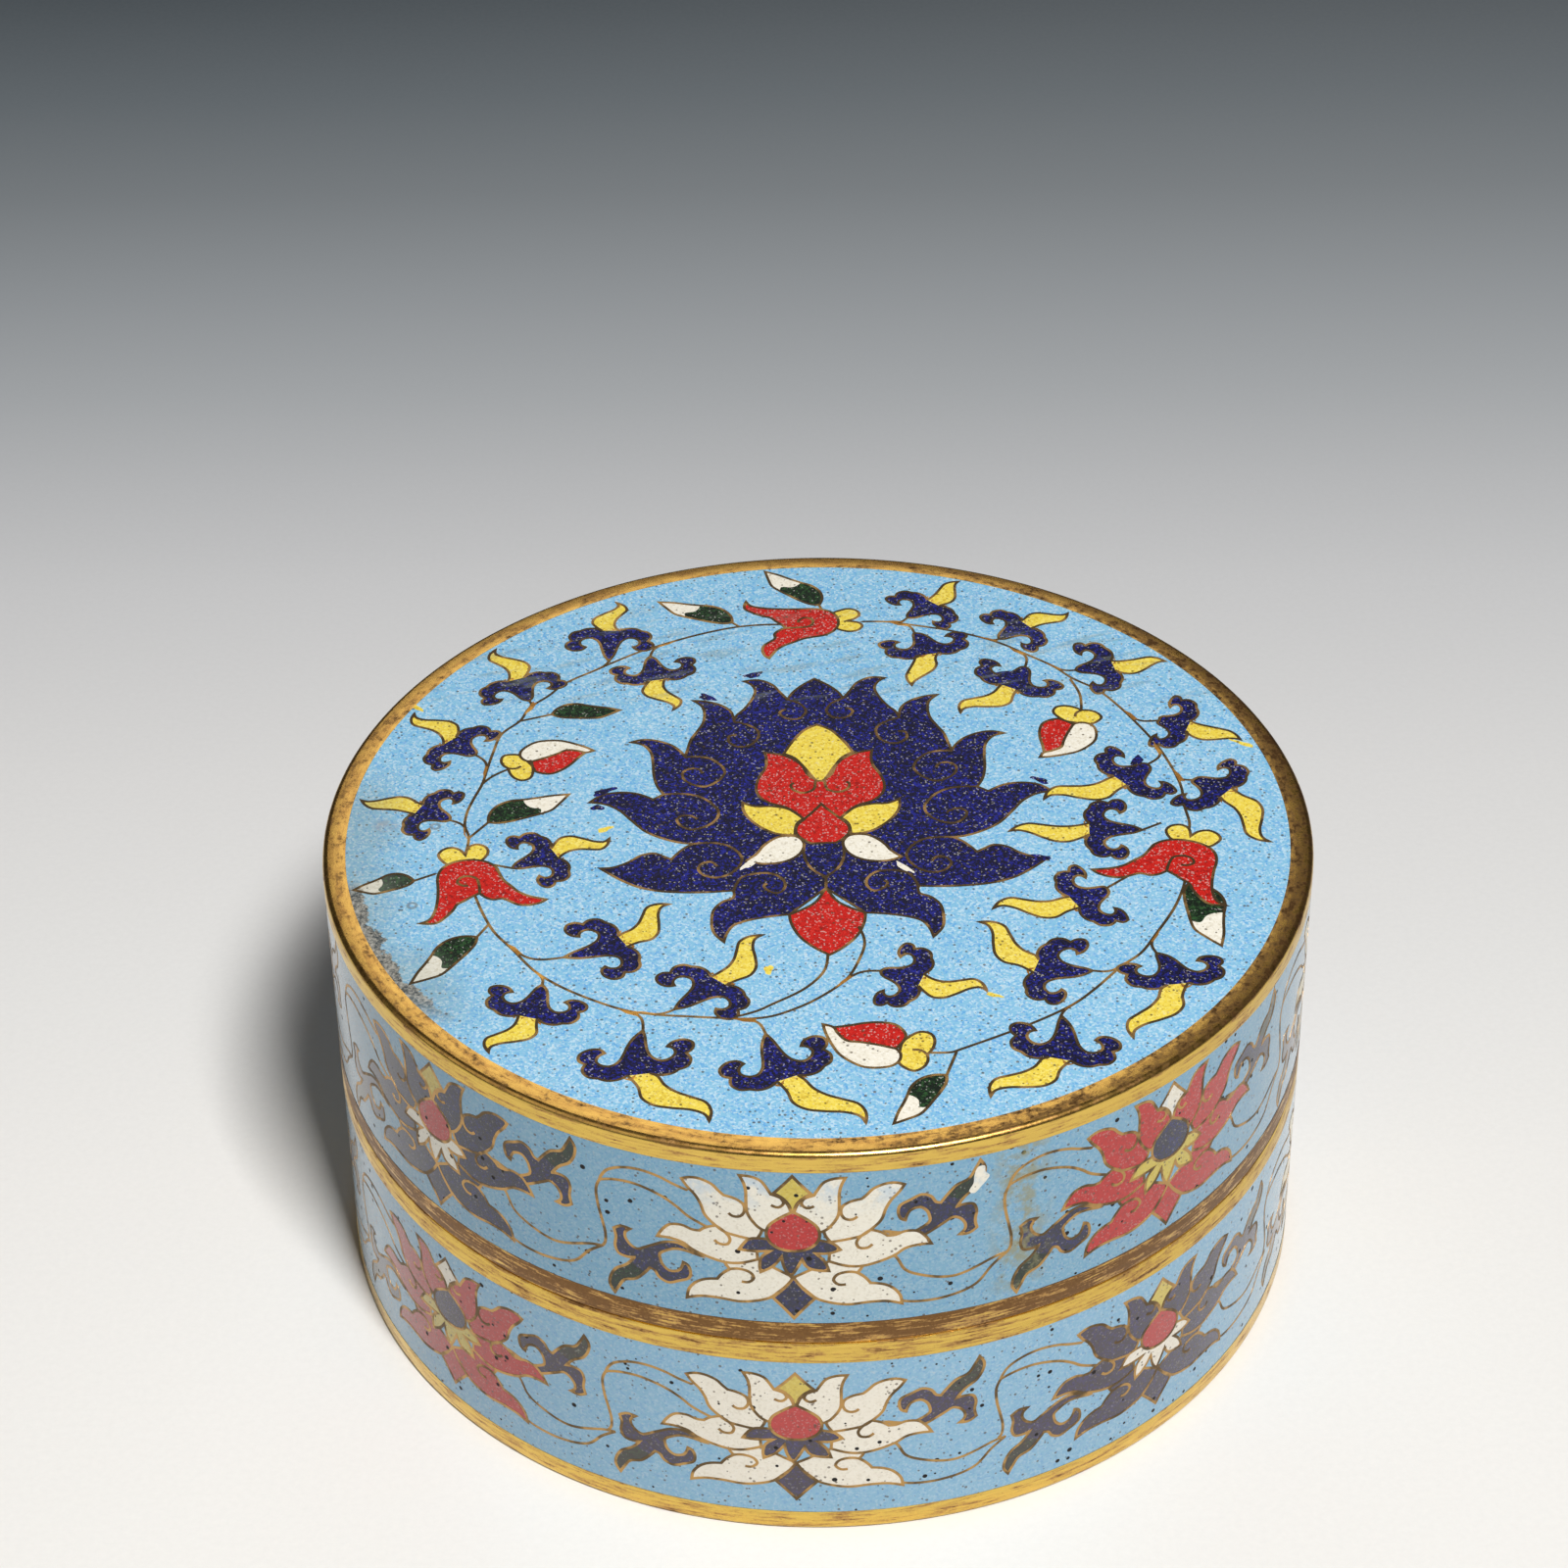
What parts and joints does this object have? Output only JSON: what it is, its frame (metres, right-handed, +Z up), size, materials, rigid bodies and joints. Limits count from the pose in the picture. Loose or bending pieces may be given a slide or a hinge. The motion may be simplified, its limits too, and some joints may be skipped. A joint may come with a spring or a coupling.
{
  "type": "cloisonne enamel box",
  "caption": "Round, straight-sided enamel box with a flat lift-off lid that seats on a collar, for keeping small things.",
  "frame": {"origin": "centre of the circle that the foot ring stands on", "axes": "+Z up along the axis of the turned body, -Y towards the front of the lid's picture"},
  "size_m": [0.12, 0.12, 0.0587],
  "materials": {
    "gilt": "worn gilding on copper, rubbed edges, red-brown blotches",
    "wire": "dull bronze wire, ground flush",
    "sky_enamel": "polished enamel with fine pits and grains",
    "cobalt_enamel": "polished enamel",
    "red_enamel": "polished enamel with fine pits",
    "yellow_enamel": "polished enamel",
    "white_enamel": "polished enamel",
    "green_enamel": "polished enamel"
  },
  "bodies": {
    "root": {"base_body": "gilt", "base_side_enamel": "sky_enamel", "lid_body": "gilt", "lid_side_enamel": "sky_enamel", "lid_top_enamel": "sky_enamel"}
  },
  "joints": []
}
